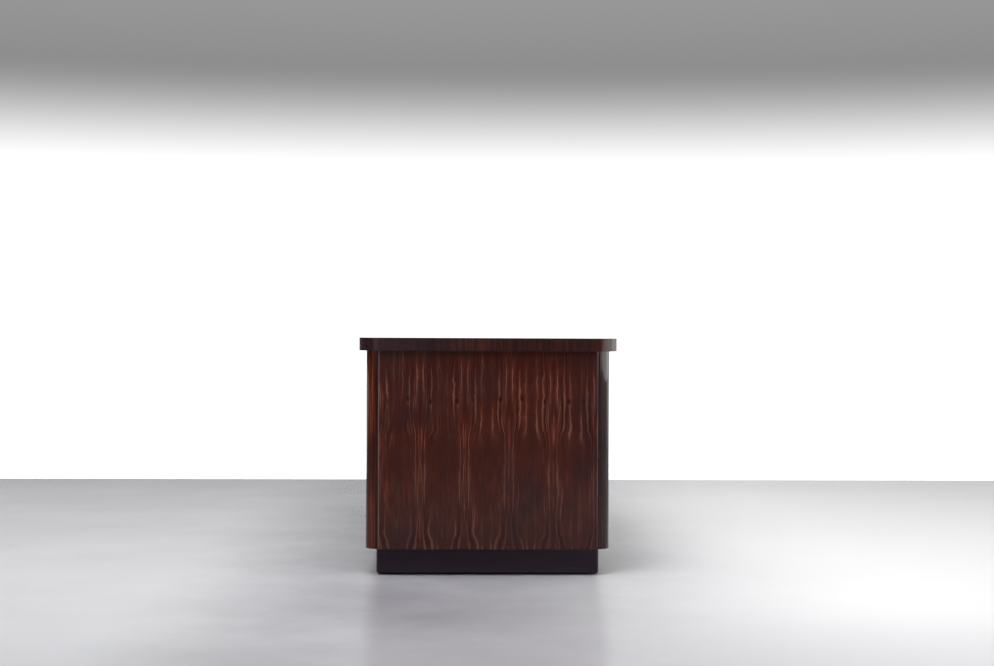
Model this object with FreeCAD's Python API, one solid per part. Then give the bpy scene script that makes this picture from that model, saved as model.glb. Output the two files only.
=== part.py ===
"""Two-pedestal writing desk with a slab top, quarter-round corner posts and set-back plinths.

Millimetres, +Z up. X runs along the desk, the sitter is at -Y, and the origin is on the floor
under the middle of the top. Pieces of the right pedestal are drawn at +X and mirrored to the left.
"""
import FreeCAD, Part
import os

# Whole desk
desk_length = 1800.0
desk_depth = 842.0
desk_height = 770.0

# Top slab
top_thickness = 42.0
top_corner_radius = 65.0
top_arris = 2.5
top_overhang = 24.0

# Carcass boards and posts
post_radius = 41.0
post_arris = 1.5
board_thickness = 20.0
pedestal_width = 561.0
back_panel_thickness = 20.0
modesty_thickness = 18.0
modesty_setback = 32.0
rail_depth = 80.0

# End panels, which stand proud of the posts on hidden battens
end_panel_thickness = 22.0
end_panel_proud = 17.0
end_panel_arris = 3.0
batten_width = 40.0

# Plinths, corner blocks and glides
glide_height = 4.0
glide_radius = 12.5
plinth_height = 80.0
plinth_thickness = 20.0
plinth_setback = 36.0
plinth_corner_radius = 10.0
plinth_arris = 8.0
block_leg = 70.0
glide_place_share = 0.3

# Fronts of the drawers and the door
front_thickness = 20.0
front_arris = 1.0
front_gap = 2.5

# Drawers
drawer_count = 3
centre_drawer_height = 68.0
drawer_side_thickness = 12.0
drawer_bottom_thickness = 6.0
drawer_bottom_rise = 6.0
drawer_side_play = 1.0
drawer_top_play = 8.0
drawer_rear_space = 130.0
centre_rear_space = 90.0
runner_height = 12.0
runner_width = 16.0
runner_front_play = 0.5
stop_thickness = 20.0
stop_height = 20.0

# Bar pulls
pull_length = 128.0
pull_height = 10.0
pull_thickness = 7.0
pull_arris = 2.0
pull_gap = 14.0
pull_foot_radius = 4.0
pull_foot_inset = 16.0

# Knife hinges let into the door's top and bottom edges and the boards beyond them
hinge_leaf_length = 60.0
hinge_leaf_width = 12.0
hinge_leaf_thickness = 2.5
hinge_swing_play = 0.5
pin_radius = 3.0
pin_play = 0.05
pin_depth = 6.0
washer_radius = 5.0
washer_play = 0.15

# Door lock, its key and the keeper on the board beside it
keeper_thickness = 1.2
keeper_reach = 8.0
keeper_height = 28.0
keeper_foot_depth = 20.0
keeper_play = 0.2
lock_side_gap = 1.0
lock_wall = 1.4
lock_flange = 9.0
lock_cavity_play = 0.2
lock_key_backset = 26.0
bolt_thickness = 4.6
bolt_height = 12.5
bolt_tail = 4.6
bolt_rear_space = 6.6
bolt_throw = 8.0
bolt_play = 0.1
bolt_lift = 4.5
talon_depth = 5.2
talon_play = 0.6
talon_reach_share = 0.75
key_shaft_radius = 2.0
key_shaft_play = 0.05
key_bit_reach = 9.0
key_bit_width = 2.5
key_bow_radius = 8.0
key_bow_hole_radius = 3.5
key_bow_thickness = 2.4
key_bow_stand = 5.0
key_below_pull = 45.0
door_pull_rise = 60.0
escutcheon_radius = 12.0
escutcheon_thickness = 1.2
keyhole_play = 0.6
lock_screw_radius = 1.3
lock_screw_length = 10.0
lock_screw_head_radius = 2.6
lock_screw_head_height = 1.2
lock_screw_inset = 5.0

# Shelf and its pins
shelf_thickness = 18.0
shelf_height_share = 0.47
shelf_front_setback = 25.0
shelf_play = 0.5
shelf_pin_radius = 3.0
shelf_pin_depth = 10.0
shelf_pin_inset = 60.0

# Door stop
door_stop_length = 40.0
door_stop_depth = 12.0
door_stop_height = 15.0
door_stop_play = 0.3

# Screws that hold the top
top_screw_radius = 2.5
top_screw_length = 45.0
top_screw_head_radius = 5.0
top_screw_head_height = 3.0
top_screw_inset = 70.0

# How far a cutting tool runs past the piece it cuts
overrun = 5.0

# Planes of the carcass, worked out from the sizes above
carcass_half_length = desk_length / 2 - top_overhang
carcass_half_depth = desk_depth / 2 - top_overhang
post_x = carcass_half_length - post_radius
post_y = carcass_half_depth - post_radius
carcass_bottom = glide_height + plinth_height
carcass_top = desk_height - top_thickness
kneehole_x = carcass_half_length - pedestal_width
inner_x = kneehole_x + board_thickness
outer_x = post_x
opening_bottom = carcass_bottom + board_thickness
opening_top = carcass_top - board_thickness
front_y = -carcass_half_depth
front_back_y = front_y + front_thickness
back_y = carcass_half_depth - back_panel_thickness
modesty_back_y = carcass_half_depth - modesty_setback
modesty_front_y = modesty_back_y - modesty_thickness
drawer_pitch = (opening_top - opening_bottom) / drawer_count
centre_bottom = opening_top - centre_drawer_height

# Both edges of the door, inside the gap about every front
door_free_x = inner_x + front_gap
door_hinge_x = outer_x - front_gap

# Outline of the right plinth
plinth_inner_x = kneehole_x + plinth_setback
plinth_half_depth = carcass_half_depth - plinth_setback

# Pull and lock places on the door
lock_left_x = inner_x + keeper_reach + lock_side_gap
key_x = lock_left_x + lock_key_backset
door_pull_z = (opening_bottom + opening_top) / 2 + door_pull_rise
key_z = door_pull_z - pull_length / 2 - key_below_pull
bolt_bottom = key_z + bolt_lift
bolt_top = bolt_bottom + bolt_height
keeper_web_y = front_back_y + keeper_play
bolt_front_y = keeper_web_y + keeper_thickness + keeper_play
bolt_back_y = bolt_front_y + bolt_thickness
lock_plate_y = bolt_front_y - lock_cavity_play
lock_back_y = bolt_back_y + lock_cavity_play + lock_wall
talon_right_x = key_x + bolt_throw + key_bit_reach * talon_reach_share
bolt_right_x = talon_right_x + bolt_tail
lock_right_x = bolt_right_x + bolt_rear_space + lock_wall
cavity_bottom = key_z - key_bit_reach - keyhole_play
cavity_top = bolt_top + bolt_play

# The door's pivot: so far in that the turning edge clears the post by the swing play
swing_room = front_gap - hinge_swing_play
pivot_inset = ((front_thickness / 2) ** 2 - swing_room ** 2) / (2 * swing_room)
hinge_axis_x = door_hinge_x - pivot_inset
hinge_axis_y = (front_y + front_back_y) / 2
door_bottom = opening_bottom + front_gap / 2
door_top = opening_top - front_gap / 2

# Shelf
shelf_bottom = opening_bottom + (opening_top - opening_bottom) * shelf_height_share
shelf_front_y = front_back_y + shelf_front_setback

ORIGIN = FreeCAD.Vector(0, 0, 0)
ALONG_X = FreeCAD.Vector(1, 0, 0)
ALONG_Y = FreeCAD.Vector(0, 1, 0)
ALONG_Z = FreeCAD.Vector(0, 0, 1)


def box(x, y, z):
    """A block; each pair gives its low and high side along one axis."""
    corner = FreeCAD.Vector(x[0], y[0], z[0])
    return Part.makeBox(x[1] - x[0], y[1] - y[0], z[1] - z[0], corner)


def rod(radius, start, end):
    """A round bar between two points."""
    start = FreeCAD.Vector(*start)
    run = FreeCAD.Vector(*end) - start
    return Part.makeCylinder(radius, run.Length, start, run)


def centred(middle, width):
    """The low and high side of a stretch about its middle."""
    return (middle - width / 2, middle + width / 2)


def mirror_x(shape):
    """The same piece on the other side of the desk's middle."""
    return shape.mirror(ORIGIN, ALONG_X)


def mirror_y(shape):
    """The same piece on the visitor's side."""
    return shape.mirror(ORIGIN, ALONG_Y)


def is_at(edge, axis, place):
    """Whether all of an edge lies at one place along an axis."""
    low = getattr(edge.BoundBox, axis + "Min")
    high = getattr(edge.BoundBox, axis + "Max")
    return abs(low - place) < edge.Length * 1e-6 and abs(high - place) < edge.Length * 1e-6


def rounded(shape, radius, *places):
    """Round the edges that lie at all of the given (axis, place) pairs."""
    edges = [e for e in shape.Edges if all(is_at(e, axis, place) for axis, place in places)]
    return shape.makeFillet(radius, edges)


def save(name, *solids):
    """Write one node, which may be a group of separate solids."""
    shape = solids[0] if len(solids) == 1 else Part.makeCompound(list(solids))
    shape.exportStep(os.path.join("parts", name + ".step"))


# Top slab and its screws

def screw_places():
    """Where screws go up into the top: each sub-top's corners, and the kneehole rail's ends."""
    places = []
    rail_y = front_y + rail_depth / 2
    for side in (-1, 1):
        for x in (inner_x + top_screw_inset, outer_x - top_screw_inset):
            for y in (front_y + top_screw_inset, back_y - top_screw_inset):
                places.append((side * x, y))
        places.append((side * (kneehole_x - top_screw_inset), rail_y))
    return places


def top_screw(x, y):
    """One round-headed screw from under a sub-top into the slab."""
    head = rod(top_screw_head_radius, (x, y, opening_top - top_screw_head_height), (x, y, opening_top))
    shank = rod(top_screw_radius, (x, y, opening_top), (x, y, opening_top + top_screw_length))
    return head.fuse(shank).removeSplitter()


def bored_for_screws(shape):
    """Cut the screws' shank holes out of a board."""
    for x, y in screw_places():
        start = (x, y, opening_top)
        shape = shape.cut(rod(top_screw_radius, start, (x, y, opening_top + top_screw_length)))
    return shape


def desk_top():
    """The slab, with rounded corners and a small arris above and below."""
    x = desk_length / 2
    y = desk_depth / 2
    slab = box((-x, x), (-y, y), (carcass_top, desk_height))
    corners = [e for e in slab.Edges if e.BoundBox.ZLength > top_thickness / 2]
    slab = slab.makeFillet(top_corner_radius, corners)
    slab = rounded(slab, top_arris, ("Z", desk_height))
    slab = rounded(slab, top_arris, ("Z", carcass_top))
    return bored_for_screws(slab)


# Carcass

def corner_post():
    """The quarter-round post at the back right corner."""
    base = FreeCAD.Vector(post_x, post_y, carcass_bottom)
    height = carcass_top - carcass_bottom
    post = Part.makeCylinder(post_radius, height, base, ALONG_Z, 90)
    foot = [e for e in post.Edges if is_at(e, "Z", carcass_bottom)]
    arc = [e for e in foot if e.Curve.TypeId == "Part::GeomCircle"]
    return post.makeFillet(post_arris, arc)


def end_panel():
    """The right end panel, with its outer edges eased."""
    face_x = carcass_half_length + end_panel_proud
    x = (face_x - end_panel_thickness, face_x)
    panel = box(x, (-post_y, post_y), (carcass_bottom, carcass_top))
    edges = []
    for axis, place in (("Y", -post_y), ("Y", post_y), ("Z", carcass_bottom)):
        edges += [e for e in panel.Edges if is_at(e, "X", face_x) and is_at(e, axis, place)]
    return panel.makeFillet(end_panel_arris, edges)


def end_battens():
    """Four battens that frame the space behind the right end panel."""
    x = (outer_x + board_thickness, carcass_half_length + end_panel_proud - end_panel_thickness)
    low = (carcass_bottom, carcass_bottom + batten_width)
    high = (carcass_top - batten_width, carcass_top)
    lying = [box(x, (-post_y, post_y), z) for z in (low, high)]
    front = (-post_y, -post_y + batten_width)
    back = (post_y - batten_width, post_y)
    standing = [box(x, y, (low[1], high[0])) for y in (front, back)]
    return lying + standing


def outer_side():
    """The right pedestal's outer side board, level with the posts' inner faces."""
    x = (outer_x, outer_x + board_thickness)
    return box(x, (-post_y, post_y), (carcass_bottom, carcass_top))


def inner_side():
    """The right pedestal's side board at the kneehole."""
    return box((kneehole_x, inner_x), (front_y, back_y), (carcass_bottom, carcass_top))


def pedestal_board(z):
    """A level board across the right pedestal."""
    return box((inner_x, outer_x), (front_y, back_y), z)


def back_panel():
    """The right pedestal's panel on the visitor's side."""
    return box((kneehole_x, outer_x), (back_y, carcass_half_depth), (carcass_bottom, carcass_top))


def modesty_panel():
    """The panel across the back of the kneehole."""
    y = (modesty_front_y, modesty_back_y)
    return box((-kneehole_x, kneehole_x), y, (carcass_bottom, carcass_top))


def kneehole_rail():
    """The rail that carries the sub-top band on over the kneehole."""
    rail = box((-kneehole_x, kneehole_x), (front_y, front_y + rail_depth), (opening_top, carcass_top))
    return bored_for_screws(rail)


# Plinths

def plinth_side(face_x, outward):
    """A plinth board across the depth, its outer corners round; outward is +1 or -1 along X."""
    x = sorted((face_x, face_x - outward * plinth_thickness))
    y = plinth_half_depth
    board = box(x, (-y, y), (glide_height, carcass_bottom))
    for end in (-y, y):
        board = rounded(board, plinth_corner_radius, ("X", face_x), ("Y", end))
    hidden_x = face_x - outward * plinth_thickness
    foot = [e for e in board.Edges if is_at(e, "Z", glide_height) and not is_at(e, "X", hidden_x)]
    return board.makeFillet(plinth_arris, foot)


def plinth_rail():
    """The back plinth board, between the two plinth sides."""
    x = (plinth_inner_x + plinth_thickness, carcass_half_length - plinth_thickness)
    y = (plinth_half_depth - plinth_thickness, plinth_half_depth)
    board = box(x, y, (glide_height, carcass_bottom))
    return rounded(board, plinth_arris, ("Y", plinth_half_depth), ("Z", glide_height))


def plinth():
    """The right plinth: two sides, a front and a back."""
    sides = [plinth_side(carcass_half_length, 1), plinth_side(plinth_inner_x, -1)]
    return sides + [plinth_rail(), mirror_y(plinth_rail())]


def plinth_corners():
    """The inner corners of the right plinth, with the way into it along X and Y."""
    near_x = plinth_inner_x + plinth_thickness
    far_x = carcass_half_length - plinth_thickness
    y = plinth_half_depth - plinth_thickness
    return [(near_x, -y, 1, 1), (far_x, -y, -1, 1), (near_x, y, 1, -1), (far_x, y, -1, -1)]


def corner_block(x, y, way_x, way_y):
    """A three-sided glue block in one inner corner of a plinth."""
    points = [(x, y), (x + way_x * block_leg, y), (x, y + way_y * block_leg), (x, y)]
    outline = Part.makePolygon([FreeCAD.Vector(px, py, glide_height) for px, py in points])
    return Part.Face(outline).extrude(FreeCAD.Vector(0, 0, plinth_height))


def glide(x, y, way_x, way_y):
    """The round glide under a corner block."""
    inset = block_leg * glide_place_share
    place = (x + way_x * inset, y + way_y * inset)
    return rod(glide_radius, (*place, 0), (*place, glide_height))


# Pulls

def pull(x, face_y, z, upright=False):
    """A bar on two round feet that stand on a front's face."""
    bar_back = face_y - pull_gap
    bar_front = bar_back - pull_thickness
    bar = box(centred(x, pull_length), (bar_front, bar_back), centred(z, pull_height))
    bar = bar.makeFillet(pull_arris, bar.Edges)
    pieces = [bar]
    for way in (-1, 1):
        foot_x = x + way * (pull_length / 2 - pull_foot_inset)
        pieces.append(rod(pull_foot_radius, (foot_x, bar_back, z), (foot_x, face_y, z)))
    if upright:
        for piece in pieces:
            piece.rotate(FreeCAD.Vector(x, face_y, z), ALONG_Y, 90)
    return pieces


# Drawers

def front(x, z):
    """A drawer or door front, its outer edges eased."""
    board = box(x, (front_y, front_back_y), z)
    face = [e for e in board.Edges if is_at(e, "Y", front_y)]
    return board.makeFillet(front_arris, face)


def make_drawer(name, low_x, high_x, low_z, pitch, rear_y):
    """Write the five nodes of one drawer that fills an opening between two boards."""
    front_x = (low_x + front_gap, high_x - front_gap)
    front_z = (low_z + front_gap / 2, low_z + pitch - front_gap / 2)
    save(name + "_front", front(front_x, front_z))
    side_z = (low_z + runner_height, low_z + pitch - drawer_top_play)
    left = (low_x + drawer_side_play, low_x + drawer_side_play + drawer_side_thickness)
    right = (high_x - drawer_side_play - drawer_side_thickness, high_x - drawer_side_play)
    inside = (left[1], right[0])
    save(name + "_sides", *[box(x, (front_back_y, rear_y), side_z) for x in (left, right)])
    save(name + "_back", box(inside, (rear_y - drawer_side_thickness, rear_y), side_z))
    bottom_z = side_z[0] + drawer_bottom_rise
    bottom = (bottom_z, bottom_z + drawer_bottom_thickness)
    save(name + "_bottom", box(inside, (front_back_y, rear_y - drawer_side_thickness), bottom))
    save(name + "_pull", *pull((low_x + high_x) / 2, front_y, sum(front_z) / 2))


def runners(low_x, high_x, low_z, rear_y):
    """The two strips that one drawer slides on."""
    y = (front_back_y + runner_front_play, rear_y)
    z = (low_z, low_z + runner_height)
    return [box(x, y, z) for x in ((low_x, low_x + runner_width), (high_x - runner_width, high_x))]


def drawer_stops(low_x, high_x, low_z, rear_y):
    """The two blocks on the runners that a closed drawer rests against."""
    y = (rear_y, rear_y + stop_thickness)
    z = (low_z + runner_height, low_z + runner_height + stop_height)
    return [box(x, y, z) for x in ((low_x, low_x + runner_width), (high_x - runner_width, high_x))]


# Door and hinges

def axis_point(z):
    """A point on the door's hinge axis."""
    return (hinge_axis_x, hinge_axis_y, z)


def hinge_blank(z):
    """A leaf's outline between two heights: round about the pivot, square at its other end."""
    square_end = hinge_axis_x - hinge_leaf_length
    strip = box((square_end, hinge_axis_x), centred(hinge_axis_y, hinge_leaf_width), z)
    return strip.fuse(rod(hinge_leaf_width / 2, axis_point(z[0]), axis_point(z[1]))).removeSplitter()


def door_leaf_z():
    """The heights of the door's two leaves, flush with its bottom and top edges."""
    return [(door_bottom, door_bottom + hinge_leaf_thickness), (door_top - hinge_leaf_thickness, door_top)]


def frame_leaf_z():
    """The heights of the two leaves let into the boards below and above the door."""
    return [(opening_bottom - hinge_leaf_thickness, opening_bottom),
            (opening_top, opening_top + hinge_leaf_thickness)]


def pin_z():
    """Each pivot pin's ends: in the board's leaf, and past the door's leaf into the door."""
    low, high = frame_leaf_z()
    return [(low[0], door_bottom + pin_depth), (door_top - pin_depth, high[1])]


def hinge_leaf(z, pin, moving):
    """One leaf, bored for its pin; the door's leaf turns about the pin, with a little play."""
    bore = pin_radius + (pin_play if moving else 0)
    return hinge_blank(z).cut(rod(bore, axis_point(pin[0]), axis_point(pin[1])))


def hinge_pin(pin):
    """A pivot pin with the washer that carries the door in the gap."""
    shaft = rod(pin_radius, axis_point(pin[0]), axis_point(pin[1]))
    below = pin[0] < door_bottom
    gap = (opening_bottom, door_bottom - washer_play) if below else (door_top + washer_play, opening_top)
    return shaft.fuse(rod(washer_radius, axis_point(gap[0]), axis_point(gap[1]))).removeSplitter()


def cut_for_leaf(shape, z):
    """Cut one leaf's recess out of a board or the door."""
    return shape.cut(hinge_blank(z))


def keyhole(y):
    """The keyhole's solid along Y: a round hole with a slot below it for the bit."""
    hole = rod(key_shaft_radius + keyhole_play, (key_x, y[0], key_z), (key_x, y[1], key_z))
    slot_width = key_bit_width + 2 * keyhole_play
    slot = box(centred(key_x, slot_width), y, (key_z - key_bit_reach - keyhole_play, key_z))
    return hole.fuse(slot)


def cupboard_door():
    """The inset door, let in for its hinge leaves and bored for the key and the lock's screws."""
    door = front((door_free_x, door_hinge_x), (door_bottom, door_top))
    for z, pin in zip(door_leaf_z(), pin_z()):
        door = cut_for_leaf(door, z)
        door = door.cut(rod(pin_radius + pin_play, axis_point(pin[0]), axis_point(pin[1])))
    door = door.cut(keyhole((front_y - overrun, front_back_y + overrun)))
    for x, z in lock_screw_places():
        start = (x, lock_plate_y - lock_screw_length, z)
        door = door.cut(rod(lock_screw_radius, start, (x, front_back_y + overrun, z)))
    return door


# Lock, key, escutcheon and keeper

def lock_screw_places():
    """The four screws in the lock's flange, above and below its case."""
    low = cavity_bottom - lock_wall - lock_flange / 2
    high = cavity_top + lock_wall + lock_flange / 2
    across = (lock_left_x + lock_screw_inset, lock_right_x - lock_screw_inset)
    return [(x, z) for x in across for z in (low, high)]


def lock_case():
    """The lock's hollow case on its flange, open for the bolt and the key."""
    x = (lock_left_x, lock_right_x)
    case = box(x, (front_back_y, lock_back_y), (cavity_bottom - lock_wall, cavity_top + lock_wall))
    flange_z = (cavity_bottom - lock_wall - lock_flange, cavity_top + lock_wall + lock_flange)
    case = case.fuse(box(x, (front_back_y, lock_plate_y), flange_z))
    cavity_x = (x[0] + lock_wall, x[1] - lock_wall)
    cavity_y = (lock_plate_y, lock_back_y - lock_wall)
    case = case.cut(box(cavity_x, cavity_y, (cavity_bottom, cavity_top)))
    slot_z = (bolt_bottom - bolt_play, bolt_top + bolt_play)
    case = case.cut(box((x[0] - overrun, cavity_x[0] + overrun), cavity_y, slot_z))
    case = case.cut(keyhole((front_back_y - overrun, cavity_y[0])))
    bearing = key_shaft_radius + key_shaft_play
    case = case.cut(rod(bearing, (key_x, cavity_y[0], key_z), (key_x, lock_back_y + overrun, key_z)))
    for screw_x, z in lock_screw_places():
        start = (screw_x, front_back_y - overrun, z)
        case = case.cut(rod(lock_screw_radius, start, (screw_x, lock_plate_y, z)))
    return case.removeSplitter()


def lock_screw(x, z):
    """One screw through the lock's flange into the door."""
    head_y = lock_plate_y + lock_screw_head_height
    head = rod(lock_screw_head_radius, (x, lock_plate_y, z), (x, head_y, z))
    shank = rod(lock_screw_radius, (x, lock_plate_y - lock_screw_length, z), (x, lock_plate_y, z))
    return head.fuse(shank).removeSplitter()


def lock_bolt():
    """The drawn-back bolt, with the notch that the turned key's bit enters."""
    y = (bolt_front_y, bolt_back_y)
    bolt = box((lock_left_x, bolt_right_x), y, (bolt_bottom, bolt_top))
    notch_x = (key_x + bolt_throw - key_bit_width / 2 - talon_play, talon_right_x)
    notch_z = (bolt_bottom - overrun, bolt_bottom + talon_depth)
    return bolt.cut(box(notch_x, (y[0] - overrun, y[1] + overrun), notch_z))


def lock_key():
    """The key in its lock, bit down: bow, shaft and bit."""
    outer_y = front_y - escutcheon_thickness - key_bow_stand
    bow_y = outer_y - key_bow_radius
    half = key_bow_thickness / 2
    bow = rod(key_bow_radius, (key_x - half, bow_y, key_z), (key_x + half, bow_y, key_z))
    key = bow.fuse(rod(key_shaft_radius, (key_x, outer_y, key_z), (key_x, lock_back_y, key_z)))
    bit_z = (key_z - key_bit_reach, key_z)
    key = key.fuse(box(centred(key_x, key_bit_width), (bolt_front_y, bolt_back_y), bit_z))
    neck_y = bow_y + key_bow_hole_radius
    key = key.fuse(rod(key_shaft_radius, (key_x, neck_y, key_z), (key_x, outer_y, key_z)))
    ring = rod(key_bow_hole_radius, (key_x - overrun, bow_y, key_z), (key_x + overrun, bow_y, key_z))
    return key.cut(ring).removeSplitter()


def escutcheon():
    """The round plate about the keyhole."""
    back = (key_x, front_y, key_z)
    plate = rod(escutcheon_radius, (key_x, front_y - escutcheon_thickness, key_z), back)
    return plate.cut(keyhole((front_y - escutcheon_thickness - overrun, front_y)))


def keeper():
    """The angle on the inner side that the thrown bolt passes behind."""
    z = centred((bolt_bottom + bolt_top) / 2, keeper_height)
    web_y = (keeper_web_y, keeper_web_y + keeper_thickness)
    web = box((inner_x, inner_x + keeper_reach), web_y, z)
    foot_x = (inner_x, inner_x + keeper_thickness)
    foot_y = (keeper_web_y, keeper_web_y + keeper_foot_depth)
    foot = box(foot_x, foot_y, (z[0], bolt_bottom - bolt_play))
    return web.fuse(foot).removeSplitter()


def door_stop():
    """The block under the sub-top that the closed door rests against."""
    x = centred((inner_x + outer_x) / 2, door_stop_length)
    y = front_back_y + door_stop_play
    return box(x, (y, y + door_stop_depth), (opening_top - door_stop_height, opening_top))


# Shelf

def shelf():
    """The cupboard's shelf, loose between the side boards."""
    x = (inner_x + shelf_play, outer_x - shelf_play)
    y = (shelf_front_y, back_y - shelf_play)
    return box(x, y, (shelf_bottom, shelf_bottom + shelf_thickness))


def shelf_pins():
    """Four round pins let into the side boards under the shelf."""
    z = shelf_bottom - shelf_pin_radius
    pins = []
    for y in (shelf_front_y + shelf_pin_inset, back_y - shelf_pin_inset):
        for x in (inner_x, outer_x):
            pins.append(rod(shelf_pin_radius, (x - shelf_pin_depth, y, z), (x + shelf_pin_depth, y, z)))
    return pins


def main():
    os.makedirs("parts", exist_ok=True)

    save("desk_top", desk_top())
    save("top_screws", *[top_screw(x, y) for x, y in screw_places()])

    post = corner_post()
    save("back_right_post", post)
    save("back_left_post", mirror_x(post))
    save("front_right_post", mirror_y(post))
    save("front_left_post", mirror_x(mirror_y(post)))

    top_board = bored_for_screws(pedestal_board((opening_top, carcass_top)))
    bottom_board = pedestal_board((carcass_bottom, opening_bottom))
    low, high = frame_leaf_z()
    save("right_top_board", cut_for_leaf(top_board, high))
    save("left_top_board", mirror_x(top_board))
    save("right_bottom_board", cut_for_leaf(bottom_board, low))
    save("left_bottom_board", mirror_x(bottom_board))
    sub_parts = {"end_panel": [end_panel()], "back_panel": [back_panel()], "plinth": plinth()}
    for name, pieces in sub_parts.items():
        save("right_" + name, *pieces)
        save("left_" + name, *[mirror_x(piece) for piece in pieces])
    save("end_battens", *end_battens(), *[mirror_x(batten) for batten in end_battens()])
    save("modesty_panel", modesty_panel())
    save("kneehole_rail", kneehole_rail())

    pins = shelf_pins()
    save("shelf", shelf())
    save("shelf_pins", *pins)
    save("right_inner_side", inner_side().cut(Part.makeCompound(pins)))
    save("right_outer_side", outer_side().cut(Part.makeCompound(pins)))
    save("left_inner_side", mirror_x(inner_side()))
    save("left_outer_side", mirror_x(outer_side()))

    blocks = [corner_block(*corner) for corner in plinth_corners()]
    glides = [glide(*corner) for corner in plinth_corners()]
    save("plinth_corner_blocks", *blocks, *[mirror_x(block) for block in blocks])
    save("floor_glides", *glides, *[mirror_x(foot) for foot in glides])

    rear_y = back_y - drawer_rear_space
    centre_rear_y = modesty_front_y - centre_rear_space
    strips = runners(-kneehole_x, kneehole_x, centre_bottom, modesty_front_y)
    stops = drawer_stops(-kneehole_x, kneehole_x, centre_bottom, centre_rear_y)
    make_drawer("centre_drawer", -kneehole_x, kneehole_x, centre_bottom, centre_drawer_height, centre_rear_y)
    for i in range(drawer_count):
        low_z = opening_top - (i + 1) * drawer_pitch
        strips += runners(-outer_x, -inner_x, low_z, back_y)
        stops += drawer_stops(-outer_x, -inner_x, low_z, rear_y)
        make_drawer("drawer_" + str(i + 1), -outer_x, -inner_x, low_z, drawer_pitch, rear_y)
    save("drawer_runners", *strips)
    save("stop_blocks", *stops, door_stop())

    save("cupboard_door", cupboard_door())
    save("door_pull", *pull(key_x, front_y, door_pull_z, upright=True))
    save("hinge_frame_leaves", *[hinge_leaf(z, pin, False) for z, pin in zip(frame_leaf_z(), pin_z())])
    save("hinge_door_leaves", *[hinge_leaf(z, pin, True) for z, pin in zip(door_leaf_z(), pin_z())])
    save("hinge_pins", *[hinge_pin(pin) for pin in pin_z()])
    save("lock_case", lock_case())
    save("lock_screws", *[lock_screw(x, z) for x, z in lock_screw_places()])
    save("lock_bolt", lock_bolt())
    save("lock_key", lock_key())
    save("escutcheon", escutcheon())
    save("keeper", keeper())


main()
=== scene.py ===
"""Two-pedestal writing desk in figured ebony veneer: the finish of every piece, the pale room and the camera.

Metres, +Z up. X runs along the desk and the sitter is at -Y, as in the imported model.
"""
import math
import bmesh
import bpy
from mathutils import Matrix, Vector


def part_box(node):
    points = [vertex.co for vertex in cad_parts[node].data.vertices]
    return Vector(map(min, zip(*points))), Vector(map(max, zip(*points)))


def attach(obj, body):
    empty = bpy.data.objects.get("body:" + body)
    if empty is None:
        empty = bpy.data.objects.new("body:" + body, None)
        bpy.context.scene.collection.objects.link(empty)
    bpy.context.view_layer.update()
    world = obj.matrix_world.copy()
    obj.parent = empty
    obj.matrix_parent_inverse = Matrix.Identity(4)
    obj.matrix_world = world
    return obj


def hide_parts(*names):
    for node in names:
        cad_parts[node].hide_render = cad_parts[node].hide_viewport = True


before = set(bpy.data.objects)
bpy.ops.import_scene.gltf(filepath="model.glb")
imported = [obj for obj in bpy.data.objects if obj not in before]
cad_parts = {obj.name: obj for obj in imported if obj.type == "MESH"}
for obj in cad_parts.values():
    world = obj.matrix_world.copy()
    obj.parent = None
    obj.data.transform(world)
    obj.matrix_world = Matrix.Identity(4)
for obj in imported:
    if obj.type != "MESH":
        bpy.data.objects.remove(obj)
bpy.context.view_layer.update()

X, Y, Z = Vector((1, 0, 0)), Vector((0, 1, 0)), Vector((0, 0, 1))

# Veneer
LEAF = 0.072                        # width of one leaf on the ends
END_JOINT = 0.0675                  # a joint of the end panels' leaves, across the desk
FRONT_LEAF = 0.073125               # on the fronts and the back, with a joint on each pedestal's middle
TOP_LEAF = 0.2105                   # four leaves across the top
VENEER_FOOT, VENEER_HEAD = 0.084, 0.728     # heights between which the upright figure runs its course
PANEL_EDGE = 0.356                  # half the width of an end panel

# Corners, arrises and boards
SLAB_CORNER = 0.065
POST_CORNER = 0.041
PLINTH_CORNER, PLINTH_ARRIS = 0.010, 0.0079
PLINTH_WALL = 0.020
DRAWER_SIDE = 0.012                 # thickness of a drawer side
CUPBOARD_FLOOR, CUPBOARD_CEILING = 0.104, 0.708

# Hinges, lock and key
LEAF_DEPTH = 0.0025                 # thickness of a hinge leaf
LEAF_GAP = 0.00125                  # between the two leaves of a hinge
PIN = 0.003                         # radius of a hinge pin
BORE_PLAY = 0.00005                 # round a hinge pin, in the door
PAST = 0.005                        # how far a cutting shape runs past the face it cuts
KEY_SHAFT = 0.002                   # radius of the key's shaft
KEY_BOW, KEY_EYE = 0.008, 0.0035    # outer and inner radius of the key's ring
KEYHOLE_PLAY = 0.0006
BIT_HALF = 0.00125                  # half the thickness of the key's bit
BIT_REACH = 0.009                   # from the key's axis to the end of its bit

# Screws: radius and height of the head, radius and length of the shank, and where the heads sit
LOCK_SCREW = (0.0026, 0.0012, 0.0013, 0.010)
LOCK_SCREW_PLACES = [(x, -0.3756, z) for x in (0.3490, 0.39235) for z in (0.3415, 0.3800)]
TOP_SCREW = (0.0050, 0.0030, 0.0025, 0.045)
TOP_SCREW_PLACES = [(way * x, y, CUPBOARD_CEILING)
                    for way in (-1, 1) for x in (0.405, 0.765) for y in (-0.327, 0.307)]
TOP_SCREW_PLACES += [(way * 0.245, -0.357, CUPBOARD_CEILING) for way in (-1, 1)]


# Camera

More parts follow.
